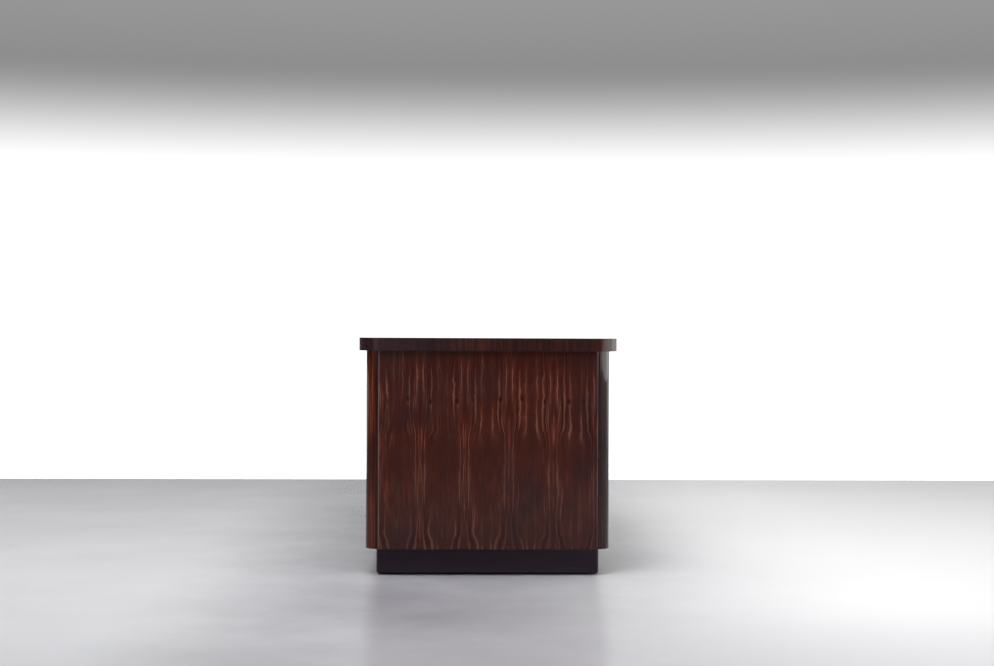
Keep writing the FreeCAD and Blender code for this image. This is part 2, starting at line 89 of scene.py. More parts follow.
def stand_camera():
    """The camera at the photograph's place, square to the right end of the desk."""
    yaw, pitch, roll = 0.0265, -0.0052, 0.0045
    level = Vector((-math.cos(yaw), math.sin(yaw), 0))
    side = Vector((math.sin(yaw), math.cos(yaw), 0))
    ahead = level * math.cos(pitch) + Z * math.sin(pitch)
    lift = Z * math.cos(pitch) - level * math.sin(pitch)
    across = side * math.cos(roll) + lift * math.sin(roll)
    above = lift * math.cos(roll) - side * math.sin(roll)
    turn = Matrix((across, above, -ahead)).transposed().to_4x4()
    bpy.ops.object.camera_add()
    camera = bpy.context.object
    camera.matrix_world = Matrix.Translation((6.456, -0.1207, 0.8155)) @ turn
    camera.data.sensor_width = 36.0
    camera.data.lens = 62.26
    camera.data.clip_end = 60.0
    bpy.context.scene.camera = camera


stand_camera()
bpy.context.scene.view_settings.view_transform = "Standard"


# Finishes

class Finish:
    """A finish while its nodes are joined up; places on a piece are read in metres."""

    def __init__(self, name, roughness=0.4, coat=0.0, coat_roughness=0.05, metallic=0.0, specular=0.5):
        self.material = bpy.data.materials.new(name)
        self.material.use_nodes = True
        self.nodes = self.material.node_tree.nodes
        self.links = self.material.node_tree.links
        self.surface = self.nodes["Principled BSDF"]
        fixed = {"Roughness": roughness, "Coat Weight": coat, "Coat Roughness": coat_roughness,
                 "Metallic": metallic, "Specular IOR Level": specular}
        for socket, value in fixed.items():
            self.surface.inputs[socket].default_value = value
        self.place = self.nodes.new("ShaderNodeTexCoord").outputs["Object"]
        split = self.nodes.new("ShaderNodeSeparateXYZ")
        self.links.new(self.place, split.inputs[0])
        self.x, self.y, self.z = split.outputs

    def set(self, socket, value):
        if isinstance(value, bpy.types.NodeSocket):
            self.links.new(value, socket)
        else:
            socket.default_value = value

    def sum(self, operation, *values):
        node = self.nodes.new("ShaderNodeMath")
        node.operation = operation
        for socket, value in zip(node.inputs, values):
            self.set(socket, value)
        return node.outputs[0]

    def times(self, a, b):
        return self.sum("MULTIPLY", a, b)

    def plus(self, *values):
        total = values[0]
        for value in values[1:]:
            total = self.sum("ADD", total, value)
        return total

    def point(self, x, y, z):
        node = self.nodes.new("ShaderNodeCombineXYZ")
        for socket, value in zip(node.inputs, (x, y, z)):
            self.set(socket, value)
        return node.outputs[0]

    def stretched(self, x, y, z):
        """The place on the piece, scaled along each axis."""
        return self.point(self.times(self.x, x), self.times(self.y, y), self.times(self.z, z))

    def noise(self, point, scale=1.0, detail=2.0, roughness=0.5):
        node = self.nodes.new("ShaderNodeTexNoise")
        self.set(node.inputs["Vector"], point)
        node.inputs["Scale"].default_value = scale
        node.inputs["Detail"].default_value = detail
        node.inputs["Roughness"].default_value = roughness
        return node.outputs["Fac"]

    def strands(self, across, count, along, rate, seed, detail=1):
        """Noise drawn out along the grain: about count strands a metre across it, changing rate times a metre."""
        return self.noise(self.point(self.times(across, count), self.times(along, rate), seed), detail=detail)

    def swing(self, noise, width):
        """Noise turned into a value that swings about zero, over the given width."""
        return self.times(self.sum("SUBTRACT", noise, 0.5), width)

    def fit(self, value, low, high, new_low=0.0, new_high=1.0, kind="LINEAR"):
        node = self.nodes.new("ShaderNodeMapRange")
        node.interpolation_type = kind
        self.set(node.inputs["Value"], value)
        for socket, number in zip(("From Min", "From Max", "To Min", "To Max"), (low, high, new_low, new_high)):
            self.set(node.inputs[socket], number)
        return node.outputs["Result"]

    def curve(self, value, *points):
        node = self.nodes.new("ShaderNodeFloatCurve")
        self.set(node.inputs["Value"], value)
        line = node.mapping.curves[0]
        line.points[0].location, line.points[-1].location = points[0], points[-1]
        for place in points[1:-1]:
            line.points.new(*place)
        node.mapping.update()
        return node.outputs["Value"]

    def ramp(self, value, *stops):
        node = self.nodes.new("ShaderNodeValToRGB")
        self.set(node.inputs["Fac"], value)
        band = node.color_ramp
        while len(band.elements) < len(stops):
            band.elements.new(1.0)
        for element, (place, colour) in zip(band.elements, stops):
            element.position = place
            element.color = (*colour, 1.0)
        return node.outputs["Color"]

    def mix(self, share, a, b):
        node = self.nodes.new("ShaderNodeMix")
        node.data_type = "RGBA"
        self.set(node.inputs["Factor"], share)
        for socket, value in ((node.inputs[6], a), (node.inputs[7], b)):
            self.set(socket, value if isinstance(value, bpy.types.NodeSocket) else (*value, 1.0))
        return node.outputs[2]

    def relief(self, height, distance, strength=1.0, under=None):
        node = self.nodes.new("ShaderNodeBump")
        self.set(node.inputs["Height"], height)
        node.inputs["Distance"].default_value = distance
        node.inputs["Strength"].default_value = strength
        if under is not None:
            self.set(node.inputs["Normal"], under)
        return node.outputs["Normal"]

    def finish(self, colour, roughness=None, relief=None, coat_relief=None):
        named = {"Base Color": colour, "Roughness": roughness, "Normal": relief, "Coat Normal": coat_relief}
        for socket, value in named.items():
            if value is not None:
                self.set(self.surface.inputs[socket], value)
        return self.material


EBONY = ((0.20, (0.026, 0.0045, 0.0024)), (0.40, (0.046, 0.0092, 0.0050)), (0.52, (0.061, 0.0150, 0.0090)),
         (0.64, (0.095, 0.0275, 0.0170)), (0.82, (0.192, 0.0680, 0.0480)))
GLOSS = {"coat": 0.5, "coat_roughness": 0.045, "specular": 0.04}
HIGH_GLOSS = {"coat": 1.0, "coat_roughness": 0.035, "specular": 0.04}


def polish(wood, pores):
    """The waviness of a hand-rubbed polish and the pores that show faintly through it."""
    ripple = wood.noise(wood.place, scale=7.0, detail=2.0)
    return wood.relief(pores, 0.00006, 0.5), wood.relief(ripple, 0.0008, 0.25)


def ebony_lines(wood, across, along, drift):
    """How light the wood is, from broad bands, lines and threads that run along the grain."""
    bands = wood.strands(across, 62, along, 2.2, drift)
    lines = wood.strands(across, 152, along, 4.0, drift)
    threads = wood.strands(across, 400, along, 11.0, drift, detail=3)
    sharp = wood.curve(lines, (0.0, 0.0), (0.35, 0.36), (0.50, 0.46), (0.60, 0.64), (0.72, 0.98), (1.0, 1.0))
    return wood.plus(wood.times(bands, 0.30), wood.times(sharp, 0.44), wood.times(threads, 0.26))


def matched_ebony(name, across, along, leaf, joint, seed, height=True, gloss=GLOSS, rubbed=0.0):
    """Book-matched leaves: each mirrors its neighbour, and the lines bundle, pinch and flare along them.

    pinch is how far the lines are drawn to a joint, life how strongly they show, reach how wide the bundle
    about a joint is, and glow how light the wood is, partly the figure and partly a painted shade at the top under
    the slab. On upright pieces they follow the height.
    """
    wood = Finish(name, **gloss)
    across, along = getattr(wood, across), getattr(wood, along)
    start = wood.sum("SUBTRACT", across, joint)
    fold = wood.sum("PINGPONG", start, leaf)
    number = wood.sum("FLOOR", wood.sum("DIVIDE", start, leaf))
    drift = wood.plus(wood.times(number, 0.07), seed)
    if height:
        rise = wood.fit(along, VENEER_FOOT, VENEER_HEAD)
        pinch = wood.curve(rise, (0.0, 0.0), (0.05, 0.42), (0.13, 0.92), (0.30, 0.70), (0.42, 0.58), (0.50, 0.86),
                           (0.54, 0.96), (0.60, 0.55), (0.68, 0.15), (0.78, 0.0), (1.0, 0.10))
        life = wood.curve(rise, (0.0, 1.0), (0.12, 0.70), (0.26, 0.32), (0.38, 0.20), (0.46, 0.14),
                          (0.54, 0.22), (0.66, 0.31), (0.80, 0.24), (1.0, 0.19))
        life = wood.times(life, 1.38)
        reach = wood.curve(rise, (0.0, 0.95), (0.12, 0.74), (0.34, 0.80), (0.54, 1.0), (1.0, 1.0))
        # glow: the figure's lightness by height, with a painted shade that darkens the top of each upright piece,
        # where the slab's overhang shades it.
        glow = wood.curve(rise, (0.0, 0.50), (0.08, 0.55), (0.25, 0.82), (0.40, 0.60), (0.47, 0.41), (0.60, 0.37),
                          (0.75, 0.45), (0.86, 0.12), (1.0, -0.2))
    else:
        along = wood.times(along, 0.45)
        pinch = wood.fit(wood.noise(wood.point(0.0, wood.times(along, 2.2), seed), detail=1), 0.3, 0.7, 0.60, 0.0)
        life = wood.fit(wood.noise(wood.point(0.0, wood.times(along, 1.7), seed + 5), detail=1), 0.3, 0.7, 0.28, 0.48)
        reach, glow = 1.0, -0.3
    slow = wood.strands(fold, 11, along, 5, drift)
    quick = wood.strands(across, 40, along, 20, drift)
    kink = wood.strands(across, 90, along, 70, drift)
    towards_joint = wood.sum("POWER", wood.fit(fold, 0.0, leaf, 1.0, 0.0), 2.0)
    drawn_in = wood.times(wood.times(pinch, 1.5), wood.times(fold, towards_joint))
    line = wood.plus(fold, drawn_in, wood.swing(slow, 0.024), wood.swing(quick, 0.0110), wood.swing(kink, 0.0036))
    uneven = wood.strands(across, 24, along, 5, seed)
    ragged = wood.sum("ADD", line, wood.fit(uneven, 0.3, 0.7, -0.012, 0.012))
    bundle = wood.fit(wood.sum("DIVIDE", ragged, reach), leaf * 0.42, leaf * 1.02, 1.0, 0.0, "SMOOTHSTEP")
    strength = wood.times(life, wood.fit(bundle, 0.0, 1.0, 0.5, 4.1))
    strength = wood.times(strength, wood.fit(uneven, 0.3, 0.7, 0.85, 1.15))
    light = wood.times(wood.sum("SUBTRACT", ebony_lines(wood, line, along, drift), 0.485), strength)
    straight = wood.strands(across, 290, along, 17.0, drift, detail=2)
    mottle = wood.strands(across, 17, along, 10.0, drift, detail=2)
    light = wood.plus(light, wood.swing(straight, 0.34), wood.fit(bundle, 0.0, 1.0, 0.385, 0.462),
                      wood.swing(mottle, 0.20), wood.times(glow, 0.15))
    if height:
        light = eyes(wood, light, fold, along, number, leaf)
    return close_ebony(wood, light, line, along, rubbed)


def eyes(wood, light, fold, along, number, leaf):
    """A small dark eye with a light tail under it, near one height in most leaves."""
    highest, lowest = 0.578, 0.556
    half_width, half_height = 0.0058, 0.0085
    tail_drop, tail_half_height = 0.016, 0.0060
    chance = wood.nodes.new("ShaderNodeTexWhiteNoise")
    chance.noise_dimensions = "1D"
    wood.set(chance.inputs["W"], number)
    apart = wood.nodes.new("ShaderNodeSeparateColor")
    wood.set(apart.inputs[0], chance.outputs["Color"])
    aside = wood.sum("SUBTRACT", fold, wood.fit(apart.outputs[0], 0.0, 1.0, leaf * 0.34, leaf * 0.74))
    above = wood.sum("SUBTRACT", along, wood.fit(apart.outputs[1], 0.0, 1.0, highest, lowest))
    strong = wood.fit(apart.outputs[2], 0.15, 0.8, 0.40, 1.0)
    below = wood.sum("ADD", above, tail_drop)
    across = wood.sum("POWER", wood.times(aside, 1 / half_width), 2.0)
    dark = wood.sum("ADD", across, wood.sum("POWER", wood.times(above, 1 / half_height), 2.0))
    tail = wood.sum("ADD", across, wood.sum("POWER", wood.times(below, 1 / tail_half_height), 2.0))
    dark = wood.times(wood.fit(dark, 0.1, 1.6, 0.30, 0.0, "SMOOTHSTEP"), strong)
    tail = wood.times(wood.fit(tail, 0.1, 1.4, 0.11, 0.0, "SMOOTHSTEP"), strong)
    return wood.plus(wood.sum("SUBTRACT", light, dark), tail)


def close_ebony(wood, light, line, along, rubbed=0.0):
    """Colour, pores and polish for a figure of the given lightness; the upright arrises at rubbed from Y = 0 get a
    pale line, part wear and part painted highlight.
    """
    pores = wood.strands(line, 1500, along, 45, 0.0)
    fine = wood.fit(pores, 0.38, 0.54, -0.045, 0.022)
    colour = wood.ramp(wood.plus(light, fine), *EBONY)
    amber = wood.strands(line, 55, along, 2.5, 3.0)
    lit = wood.times(wood.fit(light, 0.50, 0.75, 0.0, 0.6), wood.fit(amber, 0.45, 0.62, 0.0, 1.0))
    colour = wood.mix(lit, colour, (0.160, 0.046, 0.014))
    red = wood.strands(line, 125, along, 5.0, 9.0)
    fiery = wood.ramp(light, (0.40, (0.052, 0.0050, 0.0024)), (0.55, (0.094, 0.0100, 0.0045)),
                      (0.78, (0.210, 0.0400, 0.0170)))
    glowing = wood.times(wood.fit(light, 0.38, 0.50, 0.0, 0.55), wood.fit(red, 0.52, 0.64, 0.0, 1.0))
    colour = wood.mix(glowing, colour, fiery)
    cloud = wood.noise(wood.place, scale=6.0, detail=2)
    cool = wood.plus(wood.fit(cloud, 0.44, 0.66, 0.0, 0.50), wood.fit(wood.z, 0.10, 0.52, 0.30, 0.0))
    colour = wood.mix(cool, colour, (0.0255, 0.0106, 0.0130))
    # Pale line on the upright arrises: part wear, part painted highlight, painted brighter on the -Y arris (0.95)
    # than on the +Y one (0.35).
    if rubbed:
        arris = wood.fit(wood.sum("ABSOLUTE", wood.y), rubbed - 0.0034, rubbed - 0.0014, 0.0, 1.0, "SMOOTHSTEP")
        wear_and_highlight = wood.times(arris, wood.fit(wood.y, -rubbed, rubbed, 0.95, 0.35))
        colour = wood.mix(wear_and_highlight, colour, (0.230, 0.140, 0.125))
    under, over = polish(wood, pores)
    return wood.finish(colour, wood.fit(light, 0.3, 0.8, 0.36, 0.50), under, over)


def post_ebony(name, streak_place, base, vivid, shade, coat, foot_coat=None):
    """Straight-grained veneer bent round a post, with one streak as vivid, and the rest as shaded, as asked.

    foot_coat is the thinner polish near the foot, where it differs from the coat above.
    """
    wood = Finish(name, **{**HIGH_GLOSS, "coat": coat})
    if foot_coat:
        wood.set(wood.surface.inputs["Coat Weight"], wood.fit(wood.z, 0.20, 0.60, foot_coat, coat, "SMOOTHSTEP"))
    sway = wood.noise(wood.stretched(9, 9, 5), detail=1)
    y = wood.sum("ADD", wood.y, wood.swing(sway, 0.009))
    rise = wood.fit(wood.z, VENEER_FOOT, VENEER_HEAD)
    life = wood.curve(rise, (0.0, 0.62), (0.20, 0.60), (0.34, 0.14), (0.52, 0.12), (0.64, 0.80), (1.0, 1.0))
    lines = wood.noise(wood.point(wood.times(wood.x, 150), wood.times(y, 150), wood.times(wood.z, 2.0)), detail=2)
    threads = wood.noise(wood.point(wood.times(wood.x, 380), wood.times(y, 380), wood.times(wood.z, 6.0)), detail=2)
    streak = wood.sum("ABSOLUTE", wood.sum("SUBTRACT", y, streak_place))
    streak = wood.times(wood.fit(streak, 0.0060, 0.0150, 1.0, 0.0, "SMOOTHSTEP"), life)
    total = wood.plus(wood.times(lines, 0.60), wood.times(threads, 0.40))
    light = wood.plus(wood.swing(total, 1.5), base)
    colour = wood.ramp(light, *EBONY)
    fire = wood.ramp(wood.fit(total, 0.36, 0.62), (0.0, (0.062, 0.0064, 0.0026)), (0.5, (0.128, 0.0160, 0.0052)),
                     (1.0, (0.205, 0.0520, 0.0220)))
    colour = wood.mix(shade, colour, (0.0130, 0.0085, 0.0105))
    colour = wood.mix(wood.times(streak, vivid), colour, fire)
    pores = wood.strands(y, 1500, wood.z, 45, 0.0)
    under, over = polish(wood, pores)
    return wood.finish(colour, wood.fit(light, 0.3, 0.8, 0.36, 0.50), under, over)


def edge_ebony():
    """Short upright grain, dark, round the slab's edge, with a painted sheen towards -Y."""
    wood = Finish("edge_ebony", **{**HIGH_GLOSS, "coat": 0.8})
    lines = wood.noise(wood.stretched(150, 150, 6), detail=3)
    bands = wood.noise(wood.stretched(9, 9, 2), detail=1)
    light = wood.plus(wood.times(lines, 0.6), wood.times(bands, 0.4))
    colour = wood.ramp(light, (0.36, (0.0200, 0.0066, 0.0058)), (0.50, (0.0330, 0.0108, 0.0086)),
                       (0.64, (0.0620, 0.0160, 0.0100)))
    # Painted sheen: the edge is mixed paler and purple towards -Y, standing in for a reflection on that side.
    colour = wood.mix(wood.fit(wood.y, -0.34, 0.02, 0.55, 0.0), colour, (0.0200, 0.0095, 0.0180))
    pores = wood.strands(wood.plus(wood.x, wood.y), 1500, wood.z, 45, 0.0)
    under, over = polish(wood, pores)
    return wood.finish(colour, wood.fit(light, 0.3, 0.7, 0.36, 0.50), under, over)


def stained_plinth():
    """Near-black stain under a satin lacquer, dusty and rubbed towards the floor."""
    wood = Finish("stained_plinth", specular=0.26)
    grain = wood.noise(wood.stretched(5, 5, 190), detail=3)
    scuffs = wood.noise(wood.stretched(16, 16, 60), detail=4, roughness=0.7)
    low = wood.fit(wood.z, 0.004, 0.022, 1.0, 0.0, "SMOOTHSTEP")
    colour = wood.ramp(grain, (0.3, (0.0170, 0.0084, 0.0165)), (0.7, (0.0265, 0.0126, 0.0250)))
    rubbed = wood.times(low, wood.fit(scuffs, 0.45, 0.7, 0.1, 0.6))
    colour = wood.mix(rubbed, colour, (0.030, 0.026, 0.030))
    return wood.finish(colour, wood.fit(scuffs, 0.3, 0.7, 0.36, 0.50), wood.relief(grain, 0.0002, 0.4))


def pale_wood(name, x, y, z, colours, waxed=True):
    """Plain wood; the smallest of the three scales is along the grain."""
    wood = Finish(name, specular=0.4)
    sway = wood.noise(wood.stretched(x * 0.05, y * 0.05, z * 0.05), detail=1)
    moved = wood.nodes.new("ShaderNodeVectorMath")
    moved.operation = "ADD"
    wood.set(moved.inputs[0], wood.stretched(x, y, z))
    wood.set(moved.inputs[1], wood.point(wood.times(sway, 5), wood.times(sway, 5), 0.0))
    rings = wood.noise(moved.outputs[0], scale=0.25, detail=3)
    flecks = wood.noise(wood.stretched(x * 5, y * 5, z * 5), detail=1)
    pores = wood.noise(wood.stretched(x * 13, y * 13, z * 13), detail=2)
    shade = wood.plus(wood.times(rings, 0.72), wood.times(flecks, 0.18), wood.times(pores, 0.10))
    colour = wood.ramp(shade, (0.34, colours[0]), (0.50, colours[1]), (0.66, colours[2]))
    rough = wood.fit(flecks, 0.3, 0.7, 0.34, 0.5) if waxed else wood.fit(flecks, 0.3, 0.7, 0.6, 0.8)
    return wood.finish(colour, rough, wood.relief(flecks, 0.0002, 0.35 if waxed else 0.8))


def rubbed_metal(name, bright, dull, roughness, brushed):
    """Metal with a fine brushed grain and a thin uneven film of age."""
    metal = Finish(name, metallic=1.0)
    grain = metal.noise(metal.stretched(*brushed), detail=2)
    film = metal.noise(metal.place, scale=45, detail=2)
    colour = metal.mix(metal.fit(film, 0.40, 0.85, 0.0, 0.7, "SMOOTHSTEP"), bright, dull)
    rough = metal.plus(metal.fit(film, 0.3, 0.7, roughness - 0.03, roughness + 0.06), metal.times(grain, 0.10))
    return metal.finish(colour, rough, metal.relief(grain, 0.000012, 0.5))


def felt():
    pad = Finish("glide_felt", specular=0.2)
    nap = pad.noise(pad.place, scale=1800, detail=2)
    colour = pad.ramp(nap, (0.3, (0.030, 0.027, 0.024)), (0.7, (0.075, 0.068, 0.060)))
    return pad.finish(colour, pad.fit(nap, 0.3, 0.7, 0.85, 1.0), pad.relief(nap, 0.0006, 0.9))


BRASS = ((0.76, 0.53, 0.24), (0.52, 0.34, 0.14), 0.20)
SYCAMORE = ((0.400, 0.235, 0.115), (0.500, 0.315, 0.165), (0.580, 0.385, 0.215))
DEAL = ((0.520, 0.330, 0.160), (0.640, 0.440, 0.230), (0.700, 0.510, 0.290))

# The end panels get the pale arris line, part wear and part painted highlight.
end_veneer = matched_ebony("end_ebony", "y", "z", LEAF, END_JOINT, 4.1, rubbed=PANEL_EDGE)
front_veneer = matched_ebony("front_ebony", "x", "z", FRONT_LEAF, 0.0, 7.3)
side_veneer = matched_ebony("side_ebony", "y", "z", LEAF, 0.012, 2.6)
top_veneer = matched_ebony("top_ebony", "y", "x", TOP_LEAF, 0.0, 5.7, height=False, gloss=HIGH_GLOSS)
front_post_veneer = post_ebony("front_post_ebony", -0.3765, 0.33, 1.0, 0.0, 0.45)
back_post_veneer = post_ebony("back_post_ebony", 0.3700, 0.28, 0.10, 0.6, 1.0, foot_coat=0.44)
edge_veneer = edge_ebony()
plinth_finish = stained_plinth()
lining_x = pale_wood("lining_along_x", 6, 130, 130, SYCAMORE)
lining_y = pale_wood("lining_along_y", 130, 6, 130, SYCAMORE)
lining_z = pale_wood("lining_along_z", 130, 130, 6, SYCAMORE)
core_x = pale_wood("core_along_x", 5, 90, 90, DEAL, waxed=False)
core_y = pale_wood("core_along_y", 90, 5, 90, DEAL, waxed=False)
core_z = pale_wood("core_along_z", 90, 90, 5, DEAL, waxed=False)
brass_x = rubbed_metal("brass_brushed_along_x", *BRASS, (60, 1500, 1500))
brass_z = rubbed_metal("brass_brushed_upright", *BRASS, (1500, 1500, 60))
steel = rubbed_metal("steel", (0.52, 0.52, 0.53), (0.26, 0.25, 0.24), 0.28, (900, 900, 90))
glide_finish = felt()


# Hand work on one piece

def block(name, low, high):
    """A cuboid between two corners, alone in the selection."""
    bpy.ops.object.select_all(action="DESELECT")
    bpy.ops.mesh.primitive_cube_add(size=1, location=(low + high) / 2, scale=high - low)
    piece = bpy.context.object
    piece.name = name
    bpy.ops.object.transform_apply(location=True, rotation=True, scale=True)
    return piece


def round_edges(piece, radius, steps, wanted):
    """Rounds the edges whose two ends both satisfy wanted."""
    bpy.ops.object.mode_set(mode="EDIT")
    bpy.ops.mesh.select_mode(type="EDGE")
    bpy.ops.mesh.select_all(action="DESELECT")
    mesh = bmesh.from_edit_mesh(piece.data)
    for edge in mesh.edges:
        if wanted(edge.verts[0].co, edge.verts[1].co):
            edge.select_set(True)
    bmesh.update_edit_mesh(piece.data)
    bpy.ops.mesh.bevel(offset=radius, segments=steps, affect="EDGES", clamp_overlap=False)
    bpy.ops.object.mode_set(mode="OBJECT")


def near(a, b):
    return abs(a - b) < 1e-5


def round_bar(name, radius, start, end, sides=48):
    """A round bar from one point to another, alone in the selection."""
    bpy.ops.object.select_all(action="DESELECT")
    turn = Z.rotation_difference(end - start).to_euler()
    bpy.ops.mesh.primitive_cylinder_add(vertices=sides, radius=radius, depth=(end - start).length,
                                        location=(start + end) / 2, rotation=turn)
    bar = bpy.context.object
    bar.name = name
    bpy.ops.object.transform_apply(location=True, rotation=True, scale=True)
    return bar


def as_one(first, *others):
    """Joins loose shapes to the first."""
    bpy.ops.object.select_all(action="DESELECT")
    for piece in (first, *others):
        piece.select_set(True)
    bpy.context.view_layer.objects.active = first
    bpy.ops.object.join()
    return first


def copied(piece, move):
    """A copy with its own mesh, moved."""
    bpy.ops.object.select_all(action="DESELECT")
    piece.select_set(True)
    bpy.context.view_layer.objects.active = piece
    bpy.ops.object.duplicate(linked=False)
    twin = bpy.context.object
    bpy.ops.transform.translate(value=move)
    bpy.ops.object.transform_apply(location=True, rotation=True, scale=True)
    return twin


def cut_out(piece, cutter):
    """Takes the cutter's shape out of the piece."""
    bpy.ops.object.select_all(action="DESELECT")
    bpy.context.view_layer.objects.active = piece
    piece.select_set(True)
    cut = piece.modifiers.new("cut", "BOOLEAN")
    cut.operation = "DIFFERENCE"
    cut.solver = "EXACT"
    cut.object = cutter
    bpy.ops.object.modifier_apply(modifier=cut.name)
    bpy.data.objects.remove(cutter)


def smooth(piece, angle=40):
    """Soft shading over the rounded edges, with the flat faces left flat."""
    bpy.ops.object.select_all(action="DESELECT")
    piece.select_set(True)
    bpy.context.view_layer.objects.active = piece
    bpy.ops.object.shade_smooth_by_angle(angle=math.radians(angle))
    even = piece.modifiers.new("even_faces", "WEIGHTED_NORMAL")
    even.keep_sharp = True
    even.weight = 100
    bpy.ops.object.modifier_apply(modifier=even.name)


def clothe(piece, finish, **sides):
    """The finish all over, and others on the flat sides named by axis and sign, such as y_high."""
    ways = {"x_low": -X, "x_high": X, "y_low": -Y, "y_high": Y, "z_low": -Z, "z_high": Z}
    piece.data.materials.clear()
    piece.data.materials.append(finish)
    for number, (side, other) in enumerate(sides.items(), start=1):
        piece.data.materials.append(other)
        for face in piece.data.polygons:
            if face.normal.dot(ways[side]) > 0.95:
                face.material_index = number


def settle(piece, body, slot, *nodes):
    """Hands the piece to its body in place of its CAD nodes."""
    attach(piece, body)
    if nodes:
        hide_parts(*nodes)


def board(node, body, arris, finish, slot="macassar_veneer", steps=3, let_in=None, **sides):
    """A flat board in the node's place, every edge eased, let in for a frame leaf between the heights let_in."""
    piece = block(node + "_board", *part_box(node))
    round_edges(piece, arris, steps, lambda a, b: True)
    if let_in:
        cut_out(piece, leaf_blank("hinge_frame_leaves", *let_in))
    smooth(piece)
    clothe(piece, finish, **sides)
    settle(piece, body, slot, node)
    return piece


# Pieces

def make_top():
    low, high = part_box("desk_top")
    top = block("top_slab", low, high)
    round_edges(top, SLAB_CORNER, 24, lambda a, b: near(a.x, b.x) and near(a.y, b.y))
    round_edges(top, 0.0012, 3, lambda a, b: near(a.z, high.z) and near(b.z, high.z))
    round_edges(top, 0.0005, 2, lambda a, b: near(a.z, low.z) and near(b.z, low.z))
    smooth(top, 30)
    clothe(top, edge_veneer, z_high=top_veneer, z_low=core_x)
    settle(top, "carcass", "macassar_veneer", "desk_top")


def make_post(node):
    """A quarter-round post: a square one with its outer corner rounded by its whole width."""
    low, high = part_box(node)
    outer_x, outer_y = max(low.x, high.x, key=abs), max(low.y, high.y, key=abs)
    inner_x, inner_y = min(low.x, high.x, key=abs), min(low.y, high.y, key=abs)

    def on_corner(a, b):
        return all(near(p.x, outer_x) and near(p.y, outer_y) for p in (a, b))

    def on_foot(a, b):
        if near(a.x, inner_x) and near(b.x, inner_x) or near(a.y, inner_y) and near(b.y, inner_y):
            return False
        return near(a.z, low.z) and near(b.z, low.z)

    post = block(node + "_round", low, high)
    round_edges(post, POST_CORNER, 28, on_corner)
    round_edges(post, 0.0015, 3, on_foot)
    smooth(post, 35)
    if low.y < 0:
        clothe(post, front_post_veneer)
    else:
        clothe(post, back_post_veneer, **{"x_low" if near(low.x, inner_x) else "x_high": lining_z})
    settle(post, "carcass", "macassar_veneer", node)


def make_end_panel(node):
    """The proud panel of an end, its shown arrises eased all but the upper one, which is under the slab."""
    low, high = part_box(node)
    face = max(low.x, high.x, key=abs)

    def shown(a, b):
        return near(a.x, face) and near(b.x, face) and not (near(a.z, high.z) and near(b.z, high.z))

    panel = block(node + "_veneered", low, high)
    round_edges(panel, 0.003, 4, shown)
    smooth(panel, 35)
    clothe(panel, end_veneer, y_low=front_veneer, y_high=front_veneer)
    settle(panel, "carcass", "macassar_veneer", node)


def make_plinth(node):
    """A ring of boards: a rounded block with its middle taken out."""
    low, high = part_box(node)
    wall = Vector((PLINTH_WALL, PLINTH_WALL, -0.010))
    ring = block(node + "_ring", low, high)
    round_edges(ring, PLINTH_CORNER, 6, lambda a, b: near(a.x, b.x) and near(a.y, b.y))
    round_edges(ring, PLINTH_ARRIS, 6, lambda a, b: near(a.z, low.z) and near(b.z, low.z))
    cut_out(ring, block("middle", low + wall, high - wall))
    smooth(ring, 35)
    clothe(ring, plinth_finish)
    settle(ring, "carcass", "black_plinth", node)


def make_front(node, body):
    """A drawer front: veneered face and edges, plain wood behind."""
    board(node, body, 0.001, front_veneer, y_high=lining_x, x_low=side_veneer, x_high=side_veneer)


def make_pull(node, body, upright=False):
    """A bar on two round feet, each flared where it meets the wood."""
    low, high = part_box(node)
    thickness, foot_inset = 0.007, 0.016
    foot_radius, flare_radius, flare_depth = 0.0040, 0.0062, 0.0016
    bar_high = Vector((high.x, low.y + thickness, high.z))
    bar = block(node + "_bar", low, bar_high)
    round_edges(bar, 0.0020, 4, lambda a, b: True)
    length = high.z - low.z if upright else high.x - low.x
    reach = (Z if upright else X) * (length - foot_inset * 2) / 2
    start = (low + high) / 2
    start.y = bar_high.y - 0.001
    start -= reach
    end = Vector((start.x, high.y, start.z))
    foot = round_bar("foot", foot_radius, start, end, 32)
    flare = round_bar("flare", flare_radius, end - Y * flare_depth, end, 32)
    round_edges(flare, 0.0010, 3, lambda a, b: a.y < end.y - 0.001 and b.y < end.y - 0.001)
    foot = as_one(foot, flare)
    bar = as_one(bar, foot, copied(foot, reach * 2))
    smooth(bar, 35)
    clothe(bar, brass_z if upright else brass_x)
    settle(bar, body, "brass", node)


# Drawer boxes

def make_drawer_box(drawer):
    """Two sides, a back and a bottom of plain wood, their arrises eased by hand."""
    low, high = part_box(drawer + "_sides")
    side = block(drawer + "_side_boards", low, Vector((low.x + DRAWER_SIDE, high.y, high.z)))
    round_edges(side, 0.0014, 3, lambda a, b: near(a.z, high.z) and near(b.z, high.z))
    round_edges(side, 0.0006, 2, lambda a, b: near(a.z, low.z) and near(b.z, low.z))
    sides = as_one(side, copied(side, X * (high.x - low.x - DRAWER_SIDE)))
    smooth(sides)
    clothe(sides, lining_y)
    settle(sides, drawer, "lining_wood", drawer + "_sides")
    board(drawer + "_back", drawer, 0.0012, lining_x, slot="lining_wood")
    board(drawer + "_bottom", drawer, 0.0003, lining_x, slot="lining_wood", steps=1)


# Door, hinges and lock

def leaf_blank(node, low_z, high_z):
    """The shape of one knife-hinge leaf of the node: square at one end and round about the pivot."""
    low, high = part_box(node)

    def round_end(a, b):
        return near(a.x, high.x) and near(b.x, high.x) and near(a.y, b.y)

    blank = block("leaf_blank", Vector((low.x, low.y, low_z)), Vector((high.x, high.y, high_z)))
    round_edges(blank, (high.y - low.y) / 2, 12, round_end)
    return blank


def pivot(z):
    """A point on the door's hinge axis."""
    low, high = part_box("hinge_pins")
    return Vector(((low.x + high.x) / 2, (low.y + high.y) / 2, z))


